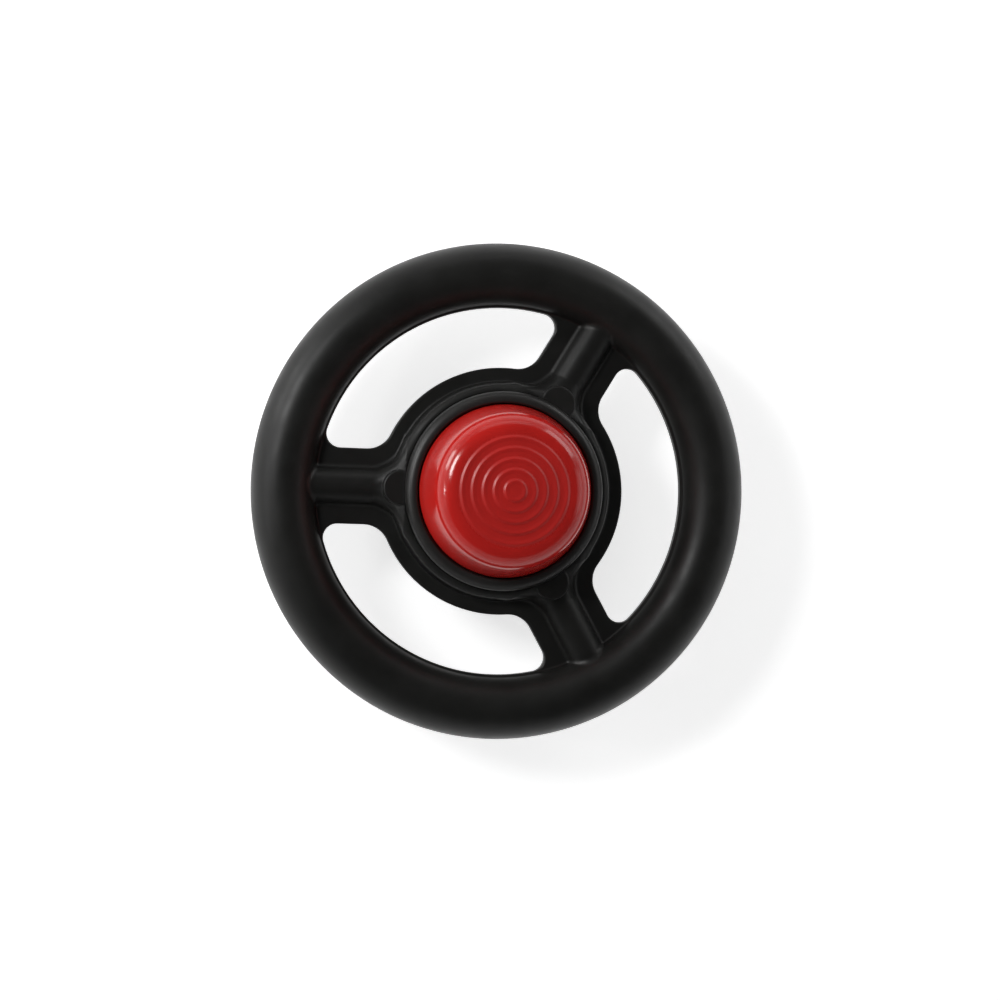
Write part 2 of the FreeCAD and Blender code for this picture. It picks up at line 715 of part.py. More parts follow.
def make_button():
    """The domed button: shell, ring steps on its crown, posts, and the spring's pad."""
    shoulder_edge = "(button_radius - (shoulder_low - skirt_top) * tan(shoulder_lean))"
    arc_middle = f"({shoulder_edge} - shoulder_radius * cos(shoulder_lean))"
    arc_height = "(shoulder_low - shoulder_radius * sin(shoulder_lean))"
    crown = f"({arc_height} + shoulder_radius)"
    inner = "(shoulder_radius - button_wall)"
    shell = turned("button_shell", [
        ("button_radius", "skirt_bottom"),
        ("button_radius", "skirt_top"),
        (shoulder_edge, "shoulder_low", "shoulder_radius", -1),
        (arc_middle, crown),
        ("0", crown),
        ("0", f"{crown} - button_wall"),
        (arc_middle, f"{crown} - button_wall", inner, 1),
        (f"{arc_middle} + {inner} * cos(shoulder_lean)",
         f"{arc_height} + {inner} * sin(shoulder_lean)"),
        ("button_radius - button_wall", "skirt_top"),
        ("button_radius - button_wall", "skirt_bottom"),
    ])
    parts = [shell]
    for step in range(5):
        disc = cylinder(f"ring_step_{step}", f"ring_radius - {step} * ring_pitch",
                        f"{crown} - 1", f"{crown} + {step + 1} * ring_rise")
        parts.append(rounded(f"ring_step_rounded_{step}", disc, 0.45, is_top_edge(disc)))
    pad = cylinder("spring_pad", "spring_radius + 1.5", "spring_seat", f"{crown} - 1")
    hollow = cylinder("spring_pad_hollow", "bellows_root - 2", "spring_seat",
                      f"{crown} - button_wall")
    parts.append(cut("spring_pad_ring", pad, [hollow]))
    pilots = []
    for count, angle in enumerate(BETWEEN_SPOKES):
        parts.append(cylinder(f"post_{count}", "post_radius", "retainer_top",
                              f"{crown} - 4", "post_place", angle))
        pilots.append(cylinder(f"post_pilot_{count}", "1.3", "retainer_top",
                               "retainer_top + 12", "post_place", angle))
    return cut("horn_button", fused("button_outside", parts), pilots)


def is_top_edge(item):
    """A test for the edges on an upright cylinder's top."""
    doc.recompute()
    top = item.Shape.BoundBox.ZMax
    return lambda edge: edge.BoundBox.ZMin > top - 0.01


def make_retainer():
    """The ring under the collar's lip, screwed to the button's posts."""
    low = "retainer_top - retainer_thick"
    plate = tube("retainer_plate", "retainer_outer", "retainer_inner", low, "retainer_top")
    holes = [
        cylinder(f"retainer_hole_{count}", "1.6", low, "retainer_top", "post_place", angle)
        for count, angle in enumerate(BETWEEN_SPOKES)
    ]
    return cut("button_retainer", plate, holes)


def make_tray():
    """The tray on the cup's floor, with the hat over the axle's nut."""
    wall = "tray_thick"
    floor = "cup_floor + tray_thick"
    block = turned("tray_block", [
        (f"hat_radius - {wall}", "cup_floor"),
        ("tray_radius", "cup_floor"),
        ("tray_radius", f"{floor} + 2.5"),
        ("tray_radius - 1.4", f"{floor} + 2.5"),
        ("tray_radius - 1.4", floor),
        ("hat_radius", floor),
        ("hat_radius", "hat_top - 1.5", "1.5", -1),
        ("hat_radius - 1.5", "hat_top"),
        ("reed_bore + 1.7", "hat_top"),
        ("reed_bore + 1.7", f"hat_top - {wall}"),
        (f"hat_radius - {wall}", f"hat_top - {wall}"),
    ])
    holes = []
    for count, angle in enumerate(SPOKES):
        holes.append(cylinder(f"tray_hole_{count}", "1.7", "cup_floor", floor,
                              "tray_screw_place", angle))
        holes.append(cylinder(f"sound_hole_{count}", "3", "cup_floor", floor,
                              "tray_screw_place", angle + 60))
    return cut("horn_tray", block, holes)


def make_spring():
    """A helical compression spring between the hat's roof and the button's pad."""
    radius = size("spring_radius")
    wire = size("spring_wire")
    low = size("hat_top") + wire
    high = size("spring_seat") - wire
    turns = 6.5
    helix = Part.makeHelix((high - low) / turns, high - low, radius)
    section = Part.Circle(Vector(radius, 0, 0), Vector(0, 1, 0), wire).toShape()
    coil = Part.Wire(helix.Edges).makePipeShell([Part.Wire([section])], True, True)
    item = doc.addObject("Part::Feature", "return_spring")
    item.Shape = coil
    item.Placement = Placement(Vector(0, 0, low), Rotation())
    return item


def make_bellows():
    """The air bellows: folds of one wall thickness, closed at the top."""
    folds = 6
    wall = "bellows_wall"
    low = "(hat_top + 1.2)"
    high = "(spring_seat - 1.2)"
    pitch = f"(({high} - {low}) / {2 * folds})"
    outside = [("bellows_crest - 1", "hat_top"), ("bellows_crest - 1", low)]
    inside = []
    for step in range(1, 2 * folds):
        radius = "bellows_root" if step % 2 else "bellows_crest"
        outside.append((radius, f"{low} + {step} * {pitch}"))
        inside.append((f"{radius} - {wall}", f"{low} + {step} * {pitch}"))
    outside += [("bellows_crest - 1", high), ("bellows_crest - 1", "spring_seat")]
    inside = [("bellows_root - 1.6", low)] + inside + [("bellows_root - 2.6", high)]
    outline = outside + [("0", "spring_seat"), ("0", high)] + inside[::-1]
    return turned("squeaker_bellows", outline + [("bellows_root - 1.6", "hat_top")])


def make_reed():
    """The whistle in the hat's roof: its holder, and the reed strip across the bore."""
    holder = turned("reed_holder", [
        ("reed_bore", "hat_top - 4.6"),
        ("reed_bore + 1.6", "hat_top - 4.6"),
        ("reed_bore + 1.6", "hat_top"),
        ("reed_bore + 4.5", "hat_top"),
        ("reed_bore + 4.5", "hat_top + 1.2"),
        ("reed_bore", "hat_top + 1.2"),
    ])
    tongue = bar("reed_tongue", ["0.01 - reed_bore", "-0.15", "hat_top - 4"],
                 ["reed_bore - 0.01", "0.15", "hat_top + 0.8"])
    return [holder, tongue]


# ---- fasteners in groups of three ----


def make_screws():
    collar = [
        screw(f"bezel_screw_{count}", "screw_place", angle, "screw_seat", "screw_length")
        for count, angle in enumerate(SPOKES)
    ]
    tray = [
        screw(f"tray_screw_{count}", "tray_screw_place", angle,
              "cup_floor + tray_thick", "7", up=False, shank="1.3")
        for count, angle in enumerate(SPOKES)
    ]
    retainer = [
        screw(f"retainer_screw_{count}", "post_place", angle,
              "retainer_top - retainer_thick", "12", shank="1.3")
        for count, angle in enumerate(BETWEEN_SPOKES)
    ]
    return [
        fused("bezel_screws", collar),
        fused("tray_screws", tray),
        fused("retainer_screws", retainer),
    ]


pieces = [
    make_base(),
    *make_axle(),
    make_wheel(),
    make_vent_plug(),
    make_collar(),
    make_button(),
    make_retainer(),
    make_tray(),
    tube("buffer_ring", "buffer_outer", "buffer_inner", "cup_floor + tray_thick",
         "retainer_top - retainer_thick - travel - stop_gap"),
    make_spring(),
    make_bellows(),
    *make_reed(),
    *make_screws(),
]
doc.recompute()

for item in doc.Objects:
    if "Invalid" in item.State or "Error" in item.State:
        raise RuntimeError(f"{item.Label} failed: {item.State}")
os.makedirs("parts", exist_ok=True)
for piece in pieces:
    if piece.Shape.isNull() or not piece.Shape.isValid():
        raise RuntimeError(f"{piece.Label} has no valid shape")
    count = len(piece.Shape.Solids)
    print(f"{piece.Label}: {count} solid, {piece.Shape.Volume / 1000:.2f} cm3")
for piece in pieces:
    piece.Shape.exportStep(f"parts/{piece.Label}.step")
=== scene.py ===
import math

import bmesh
import bpy
import numpy as np
from mathutils import Matrix, Vector


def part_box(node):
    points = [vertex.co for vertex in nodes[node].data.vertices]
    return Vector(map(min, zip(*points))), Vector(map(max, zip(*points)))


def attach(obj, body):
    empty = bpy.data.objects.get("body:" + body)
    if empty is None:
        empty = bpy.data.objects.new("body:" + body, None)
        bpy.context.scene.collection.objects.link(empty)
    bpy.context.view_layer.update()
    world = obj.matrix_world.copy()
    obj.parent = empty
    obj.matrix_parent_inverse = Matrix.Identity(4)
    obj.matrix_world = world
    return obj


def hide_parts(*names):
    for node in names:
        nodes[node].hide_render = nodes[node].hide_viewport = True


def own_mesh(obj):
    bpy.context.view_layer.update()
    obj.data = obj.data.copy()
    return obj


# Black three-spoke play steering wheel with a glossy red horn button.
# Shapes are worked out in millimetres in the CAD frame and made in metres.

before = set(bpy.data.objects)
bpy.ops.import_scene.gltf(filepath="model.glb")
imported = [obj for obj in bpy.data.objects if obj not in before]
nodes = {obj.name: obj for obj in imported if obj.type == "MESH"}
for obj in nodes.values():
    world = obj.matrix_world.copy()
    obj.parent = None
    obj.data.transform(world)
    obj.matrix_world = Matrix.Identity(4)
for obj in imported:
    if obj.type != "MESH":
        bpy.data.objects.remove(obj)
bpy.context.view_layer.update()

MM = 0.001                          # metres in a millimetre
SPOKE_TURN = math.radians(178)      # direction of the first spoke
SPOKE_STEP = 2 * math.pi / 3
TURNED_SEGMENTS = 256
SMALL_SEGMENTS = 96                 # of small turned pieces
POST_SEGMENTS = 32
ARC_STEP = 7                        # degrees of arc to a face on rounded edges
CRISP = math.radians(40)            # edges that turn more than this aren't shaded smooth


def node_size(node):
    """Outer radius, lowest and highest point of a turned CAD node, in millimetres."""
    low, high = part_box(node)
    return high.x / MM, low.z / MM, high.z / MM


WHEEL_RADIUS, HUB_BOTTOM, RIM_TOP = node_size("wheel_body")
COLLAR_RADIUS, LIP_BOTTOM, COLLAR_TOP = node_size("bezel_ring")
BUTTON_RADIUS, _, BUTTON_TOP = node_size("horn_button")

# ---- the wheel body's sizes ----

TUBE = 19                           # outside radius of the rim's tube
RIM_RADIUS = WHEEL_RADIUS - TUBE
RIM_PLANE = RIM_TOP - TUBE
WEB_HALF = 3                        # half the thickness of the webs
OPENING_OUT = 111                   # outer edge of the three openings
OPENING_IN = 74.7                   # inner edge of the three openings
REACH = 22.8                        # spoke's middle to the side of an opening
CORNER_OUT = 8.5                    # corner radius of an opening at the rim
CORNER_IN = 16                      # corner radius of an opening at the hub
SPOKE_RADIUS = 11.5
FLARE = 20                          # plan radius where a spoke flares into the hub
DRUM_RADIUS = 66
DRUM_TOP_RADIUS = 64
DRUM_TOP = 67
DRUM_BOTTOM = 34
DRUM_TAPER = 0.15                   # a drum side's lean, radius to height
SEAT_RADIUS = COLLAR_RADIUS - 0.3   # the drum closes up to the collar's side
SEAT = 65
LEDGE_RADIUS = 54.2
LEDGE = 60.5
CUP_RADIUS = 50                     # cup that holds the horn
CUP_FLOOR = 46
FLOOR_UNDER = 40
BOSS_RADIUS = 22
BUSH_BORE = 9
RIB_WIDTH = 3
DISC_PLACE = 62                     # axis to the middle of a raised disc
DISC_RADIUS = 10.5
DISC_TOP = 68.8
SCREW_PLACE = 56.8                  # axis to a collar screw's way through the drum
SCREW_WAY = 3.5
SCREW_SEAT = 58

# ---- the wheel body's rounded edges and fillets ----

WEB_EDGE = 1
RIM_FILLET = 1.5                    # rim to web
DRUM_FILLET = 1.5                   # drum to web
DRUM_EDGE = 3.6
SPOKE_FILLET = 2.2                  # spoke to web
FLARE_FILLET = 2                    # added to it where the flare reaches the drum
BOSS_EDGE = 0.8
DISC_EDGE = 1.3
DISC_FILLET = 0.5
CUP_EDGE = 0.5
RECESS_EDGE = 0.8
SCREW_WAY_EDGE = 0.4


# ---- a moulded body from a distance field, meshed on a grid that turns with the wheel ----


def round_max(one, other, radius):
    """The overlap of two fields, with its edge rounded."""
    outside = np.hypot(np.maximum(one + radius, 0), np.maximum(other + radius, 0))
    return np.minimum(np.maximum(one + radius, other + radius), 0) + outside - radius


def fillet_min(one, other, radius):
    """The union of two fields, with a fillet where they meet."""
    inside = np.hypot(np.maximum(radius - one, 0), np.maximum(radius - other, 0))
    return np.maximum(radius, np.minimum(one, other)) - inside


def opening_field(along, across, out):
    """Plan distance to an opening, negative inside it, with its round corners."""
    field = np.maximum(np.maximum(out - OPENING_OUT, OPENING_IN - out), REACH - across)
    corners = ((CORNER_OUT, OPENING_OUT - CORNER_OUT, 1), (CORNER_IN, OPENING_IN + CORNER_IN, -1))
    for radius, distance, way in corners:
        centre_across = REACH + radius
        centre_along = math.sqrt(distance**2 - centre_across**2)
        past = along - centre_along
        aside = across - centre_across
        turned = past * centre_across - aside * centre_along
        in_corner = (past * way >= 0) & (turned >= 0)
        field = np.where(in_corner, np.hypot(past, aside) - radius, field)
    return field


def spoke_field(along, across, up):
    """A round-backed spoke that widens and rises into the hub drum, and how far into that
    flare each point is, from 0 to 1."""
    below_drum_top = 0.4
    tip_corner, root_corner = SPOKE_RADIUS - 0.3, 5
    inner_end = CUP_RADIUS - 10
    reach = SPOKE_RADIUS + FLARE
    start = math.sqrt((DRUM_TOP_RADIUS + FLARE) ** 2 - reach**2)
    length = start - DRUM_TOP_RADIUS * start / (DRUM_TOP_RADIUS + FLARE)
    back = np.clip(start - along, 0, length)
    share = back / length
    lean = np.sqrt(FLARE**2 - back**2)
    half_width = reach - lean
    rise = DRUM_TOP - RIM_PLANE - SPOKE_RADIUS - below_drum_top
    half_height = SPOKE_RADIUS + rise * share**2 * (3 - 2 * share)
    corner = tip_corner * (1 - share) + root_corner * share
    wide = across - half_width + corner
    high = up - half_height + corner
    field = np.hypot(np.maximum(wide, 0), np.maximum(high, 0)) - corner
    field = (field + np.minimum(np.maximum(wide, high), 0)) * lean / FLARE
    return np.maximum(field, np.maximum(along - RIM_RADIUS, inner_end - along)), share


def drum_field(out, up, z):
    """The hub drum, a little narrower at its two faces than at the web."""
    side = out - DRUM_RADIUS + DRUM_TAPER * np.maximum(up - WEB_HALF, 0)
    drum = round_max(side / math.hypot(1, DRUM_TAPER), z - DRUM_TOP, DRUM_EDGE)
    return round_max(drum, DRUM_BOTTOM - z, DRUM_EDGE)


def wheel_field(x, y, z):
    """Distance to the wheel body's surface, negative inside it."""
    out = np.hypot(x, y)
    up = np.abs(z - RIM_PLANE)
    turn = (np.arctan2(y, x) - SPOKE_TURN + SPOKE_STEP / 2) % SPOKE_STEP - SPOKE_STEP / 2
    turn = np.abs(turn)
    along = out * np.cos(turn)
    across = out * np.sin(turn)

    rim = np.hypot(out - RIM_RADIUS, up) - TUBE
    web = round_max(up - WEB_HALF, -opening_field(along, across, out), WEB_EDGE)
    web = np.maximum(web, out - RIM_RADIUS)
    spoke, share = spoke_field(along, across, up)
    body = fillet_min(rim, web, RIM_FILLET)
    body = fillet_min(body, drum_field(out, up, z), DRUM_FILLET)
    body = fillet_min(body, spoke, SPOKE_FILLET + FLARE_FILLET * share)
    boss = round_max(out - BOSS_RADIUS, HUB_BOTTOM - z, BOSS_EDGE)
    body = np.minimum(body, np.maximum(boss, z - CUP_FLOOR))
    disc = np.hypot(along - DISC_PLACE, across) - DISC_RADIUS
    disc = round_max(disc, z - DISC_TOP, DISC_EDGE)
    body = fillet_min(body, np.maximum(disc, SCREW_SEAT - z), DISC_FILLET)

    cup = np.maximum(out - CUP_RADIUS, CUP_FLOOR - z)
    cup = np.minimum(cup, np.maximum(out - LEDGE_RADIUS, LEDGE - z))
    cup = np.minimum(cup, np.maximum(out - SEAT_RADIUS, SEAT - z))
    body = round_max(body, -cup, CUP_EDGE)
    body = np.maximum(body, BUSH_BORE - out)
    rib = out * np.abs(np.sin(turn - SPOKE_STEP / 4)) - RIB_WIDTH / 2
    recess = np.maximum(np.maximum(out - CUP_RADIUS, BOSS_RADIUS - out), z - FLOOR_UNDER)
    body = round_max(body, -np.maximum(recess, -rib), RECESS_EDGE)
    screw_way = np.maximum(np.hypot(along - SCREW_PLACE, across) - SCREW_WAY, z - SCREW_SEAT)
    return round_max(body, -screw_way, SCREW_WAY_EDGE)


def grid_lines(*stops):
    """Grid lines through (start, spacing) stops, up to the start of the last one."""
    lines = []
    for (start, gap), (end, _) in zip(stops, stops[1:]):
        lines.extend(np.linspace(start, end, max(1, round((end - start) / gap)), endpoint=False))
    return np.array(lines + [stops[-1][0]])


def steepness(field, points):
    """The field's gradient at each point."""
    reach = 0.01
    columns = []
    for axis in range(3):
        step = np.zeros(3)
        step[axis] = reach
        columns.append((field(*(points + step).T) - field(*(points - step).T)) / (2 * reach))
    return np.stack(columns, 1)


def crossings(values, axis, radii, turns, heights):
    """Where the surface crosses the grid's lines along one axis: the points, and for each
    the four cells around it, in turning order with the outside in front."""
    after = np.roll(values, -1, axis)
    hit = (values < 0) != (after < 0)
    if axis != 1:
        np.moveaxis(hit, axis, 0)[-1] = False
    index = np.argwhere(hit)
    place = index.astype(float)
    place[:, axis] += values[hit] / (values[hit] - after[hit])
    out = np.interp(place[:, 0], np.arange(len(radii)), radii)
    turn = np.interp(place[:, 1], np.arange(len(turns) + 1), np.append(turns, turns[0] + 2 * math.pi))
    height = np.interp(place[:, 2], np.arange(len(heights)), heights)
    points = np.stack([out * np.cos(turn), out * np.sin(turn), height], 1)
    first, second = (axis + 1) % 3, (axis + 2) % 3
    around = []
    for before_first, before_second in ((1, 1), (0, 1), (0, 0), (1, 0)):
        cell = index.copy()
        cell[:, first] -= before_first
        cell[:, second] -= before_second
        cell[:, 1] %= len(turns)
        around.append(np.ravel_multi_index(cell.T, values.shape))
    cells = np.stack(around, 1)
    outward_is_back = values[hit] > 0
    cells[outward_is_back] = cells[outward_is_back, ::-1]
    return points, cells


def contour(field, radii, turns, heights):
    """Quads on the field's surface: one vertex in each cell, put on the crease that the
    surface's slopes at the cell's edges point to, then brought onto the surface."""
    hold = 0.15                     # how strongly a vertex keeps to its crossings' middle
    farthest = 1.2                  # from that middle, in millimetres
    settling_steps, least_steepness = 4, 0.05
    out, turn, height = np.meshgrid(radii, turns, heights, indexing="ij")
    values = field(out * np.cos(turn), out * np.sin(turn), height)
    found = [crossings(values, axis, radii, turns, heights) for axis in range(3)]
    points = np.concatenate([points for points, _ in found])
    quads = np.concatenate([cells for _, cells in found])
    cells, quads = np.unique(quads, return_inverse=True)
    quads = quads.reshape(-1, 4)

    def summed(weights):
        return sum(
            np.bincount(quads[:, corner], weights, len(cells)) for corner in range(4)
        )

    slope = steepness(field, points)
    slope /= np.linalg.norm(slope, axis=1, keepdims=True)
    offset = (slope * points).sum(1)
    count = summed(np.ones(len(points)))
    middle = np.stack([summed(points[:, axis]) / count for axis in range(3)], 1)
    matrix = np.empty((len(cells), 3, 3))
    target = np.empty((len(cells), 3))
    for row in range(3):
        for column in range(3):
            matrix[:, row, column] = summed(slope[:, row] * slope[:, column])
        matrix[:, row, row] += hold
        target[:, row] = summed(slope[:, row] * offset) + hold * middle[:, row]
    away = np.linalg.solve(matrix, target[:, :, None])[:, :, 0] - middle
    length = np.linalg.norm(away, axis=1, keepdims=True)
    vertices = middle + away * np.minimum(1, farthest / np.maximum(length, 1e-9))
    for _ in range(settling_steps):
        slope = steepness(field, vertices)
        steep = np.maximum((slope * slope).sum(1, keepdims=True), least_steepness)
        vertices = vertices - field(*vertices.T)[:, None] * slope / steep
    slope = steepness(field, vertices)
    return vertices, quads, slope / np.linalg.norm(slope, axis=1, keepdims=True)


# ---- meshes ----


def mesh_object(name, vertices, faces, body, normals=None):
    """A smooth-shaded mesh from millimetres, riding on a body."""
    mesh = bpy.data.meshes.new(name)
    mesh.from_pydata((np.asarray(vertices) * MM).tolist(), [], np.asarray(faces).tolist())
    mesh.update()
    mesh.polygons.foreach_set("use_smooth", [True] * len(mesh.polygons))
    if normals is not None:
        mesh.normals_split_custom_set_from_vertices(normals.tolist())
    item = bpy.data.objects.new(name, mesh)
    bpy.context.scene.collection.objects.link(item)
    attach(item, body)
    return item


def rounded_outline(*corners):
    """The points of a closed outline from its corners: radius, height and rounding."""
    points = []
    for index, (out, height, rounding) in enumerate(corners):
        corner = Vector((out, height))
        if not rounding:
            points.append(corner)
            continue
        back = (Vector(corners[index - 1][:2]) - corner).normalized()
        ahead = (Vector(corners[(index + 1) % len(corners)][:2]) - corner).normalized()
        opening = back.angle(ahead)
        centre = corner + (back + ahead).normalized() * (rounding / math.sin(opening / 2))
        start = corner + back * (rounding / math.tan(opening / 2)) - centre
        end = corner + ahead * (rounding / math.tan(opening / 2)) - centre
        sweep = math.atan2(start.x * end.y - start.y * end.x, start.dot(end))
        steps = max(3, round(math.degrees(abs(sweep)) / ARC_STEP))
        first = math.atan2(start.y, start.x)
        for step in range(steps + 1):
            turn = first + sweep * step / steps
            points.append(centre + Vector((math.cos(turn), math.sin(turn))) * rounding)
    return points


def turned_faces(outline, segments=TURNED_SEGMENTS, place=(0, 0)):
    """Vertices and faces of a counterclockwise outline of radius and height, turned about
    an upright axis."""
    points = np.array([tuple(point) for point in outline])
    turns = np.linspace(0, 2 * math.pi, segments, endpoint=False)[:, None]
    rows = len(points)
    vertices = np.empty((segments, rows, 3))
    vertices[:, :, 0] = points[:, 0] * np.cos(turns) + place[0]
    vertices[:, :, 1] = points[:, 0] * np.sin(turns) + place[1]
    vertices[:, :, 2] = points[:, 1]
    here = np.arange(segments)[:, None] * rows
    there = (np.arange(segments)[:, None] + 1) % segments * rows
    row = np.arange(rows)
    after = (row + 1) % rows
    faces = np.stack([here + row, there + row, there + after, here + after], 2)
    return vertices.reshape(-1, 3), faces.reshape(-1, 4)


def turned_object(name, body, *solids):
    """One mesh of one or more turned solids, with crisp edges where they turn sharply."""
    vertices = np.concatenate([solid[0] for solid in solids])
    starts = np.cumsum([0] + [len(solid[0]) for solid in solids])
    faces = np.concatenate([solid[1] + start for solid, start in zip(solids, starts)])
    item = mesh_object(name, vertices, faces, body)
    same_point = 0.0001 * MM
    mesh = bmesh.new()
    mesh.from_mesh(item.data)
    bmesh.ops.remove_doubles(mesh, verts=mesh.verts, dist=same_point)
    mesh.to_mesh(item.data)
    mesh.free()
    item.data.set_sharp_from_angle(angle=CRISP)
    return item


def polar(distance, turn):
    """A point at a distance from the axis in a direction."""
    return distance * math.cos(turn), distance * math.sin(turn)


# ---- the visible mouldings ----


def make_wheel_skin():
    """The blow-moulded rim, webs, spokes and hub in one skin. Its grid is finer around the
    hub's small roundings and along the spokes."""
    radii = grid_lines((8, 1.8), (44, 0.8), (78, 1.1), (113, 1.7), (WHEEL_RADIUS + 1.6, 0))
    heights = grid_lines(
        (HUB_BOTTOM - 1.2, 1.3), (46.2, 0.75), (58, 1.2), (62, 0.75), (69.5, 1.3), (72.5, 0)
    )
    half = math.degrees(SPOKE_STEP) / 2
    sector = np.radians(grid_lines((-half, 1.2), (-20, 0.5), (20, 1.2), (half, 0))[:-1])
    turns = np.concatenate([sector + count * SPOKE_STEP for count in range(3)]) + SPOKE_TURN
    vertices, quads, normals = contour(wheel_field, radii, turns, heights)
    return mesh_object("wheel_skin", vertices, quads, "wheel", normals)


def make_collar():
    """The ring around the button, with the lip that holds the button in."""
    wall, lip_inner, lip_top, bore = 53.9, 46, 62.9, 52.3
    outline = rounded_outline(
        (lip_inner, LIP_BOTTOM, 0.4),
        (wall, LIP_BOTTOM, 0.4),
        (wall, SEAT, 0),
        (COLLAR_RADIUS, SEAT, 0.3),
        (COLLAR_RADIUS, COLLAR_TOP, 5.4),
        (bore, COLLAR_TOP, 1.5),
        (bore, lip_top, 0.4),
        (lip_inner, lip_top, 0.4),
    )
    return turned_object("collar", "wheel", turned_faces(outline))


def make_button():
    """The domed button: its shell with ring steps on the crown, three posts, and the pad
    that the spring bears on. Each step has a foot, a crest and a shallow dip behind it."""
    skirt, lean_start, wall = 69.6, 75.5, 2.5
    lean = math.tan(math.radians(13))
    steps, rise, pitch, first_step, crest = 5, 0.5, 6.3, 31.6, 0.32
    crown = BUTTON_TOP - steps * rise

    def side(height):
        return BUTTON_RADIUS - (height - lean_start) * lean

    ripples = []
    for step in range(steps):
        radius = first_step - step * pitch
        level = crown + step * rise
        ripples.append((radius + 0.9, level, 1.9))
        ripples.append((radius - 0.7, level + rise + crest, 1.4))
        ripples.append((radius - 2.7, level + rise, 2.5))
    outline = rounded_outline(
        (BUTTON_RADIUS - wall, skirt, 0.6),
        (BUTTON_RADIUS, skirt, 0.6),
        (BUTTON_RADIUS, lean_start, 12),
        (side(crown), crown, 14),
        *ripples,
        (0, BUTTON_TOP, 0),
        (0, crown - wall, 0),
        (side(crown) - wall, crown - wall, 11.5),
        (BUTTON_RADIUS - wall, lean_start, 0),
    )
    post_radius, post_place, post_foot, post_head = 4.5, 38, 60.7, 104.6
    posts = [
        turned_faces(
            rounded_outline((0, post_foot, 0), (post_radius, post_foot, 0.4),
                            (post_radius, post_head, 0.4), (0, post_head, 0)),
            POST_SEGMENTS,
            polar(post_place, SPOKE_TURN + SPOKE_STEP * (count + 0.5)),
        )
        for count in range(3)
    ]
    pad_low, pad_inner, pad_outer = 106, 7.6, 17
    pad = rounded_outline((pad_inner, pad_low, 0.3), (pad_outer, pad_low, 0.3),
                          (pad_outer, crown - 1, 0), (pad_inner, crown - 1, 0))
    return turned_object("button_shell", "button", turned_faces(outline), *posts,
                         turned_faces(pad, SMALL_SEGMENTS))


def make_spring():
    """The return spring's coil."""
    outer, low, high = node_size("return_spring")
    wire, coils, coil_steps, sides = 0.8, 6.5, 72, 10
    steps = round(coils * coil_steps)
    rise = high - low - 2 * wire
    turns = np.linspace(0, coils * 2 * math.pi, steps)
    thick = np.full(steps, wire)
    thick[[0, -1]] = 0
    slope = math.atan2(rise, coils * 2 * math.pi * (outer - wire))
    around = np.linspace(0, 2 * math.pi, sides, endpoint=False)
    out = outer - wire + thick[:, None] * np.cos(around)
    aside = thick[:, None] * np.sin(around)
    along, turned = -aside * math.sin(slope), turns[:, None]
    vertices = np.stack([
        out * np.cos(turned) - along * np.sin(turned),
        out * np.sin(turned) + along * np.cos(turned),
        low + wire + rise * turned / turns[-1] + aside * math.cos(slope),
    ], 2)
    here = np.arange(steps - 1)[:, None] * sides + np.arange(sides)
    beside = np.arange(steps - 1)[:, None] * sides + (np.arange(sides) + 1) % sides
    faces = np.stack([here, here + sides, beside + sides, beside], 2)
    coil = vertices.reshape(-1, 3), faces.reshape(-1, 4)
    return turned_object("spring_coil", "wheel", coil)


def make_bellows():
    """The squeaker's bellows, with round folds."""
    crest, low, high = node_size("squeaker_bellows")
    root, wall, end, folds = 9.6, 1, 1.2, 6
    lower_bore, upper_bore = root - 1.6, root - 2.6
    pitch = (high - low - 2 * end) / (2 * folds)
    outside = [(crest - wall, low, 0), (crest - wall, low + end, 0.4)]
    inside = [(lower_bore, low + end, 0.3)]
    for step in range(1, 2 * folds):
        radius = root if step % 2 else crest
        outside.append((radius, low + end + step * pitch, 0.5))
        inside.append((radius - wall, low + end + step * pitch, 0.4))
    outside += [(crest - wall, high - end, 0.4), (crest - wall, high, 0.5), (0, high, 0)]
    inside += [(upper_bore, high - end, 0.3), (0, high - end, 0)]
    outline = rounded_outline(*outside, *inside[::-1], (lower_bore, low, 0))
    return turned_object("bellows_folds", "wheel", turned_faces(outline, SMALL_SEGMENTS))


# ---- materials ----


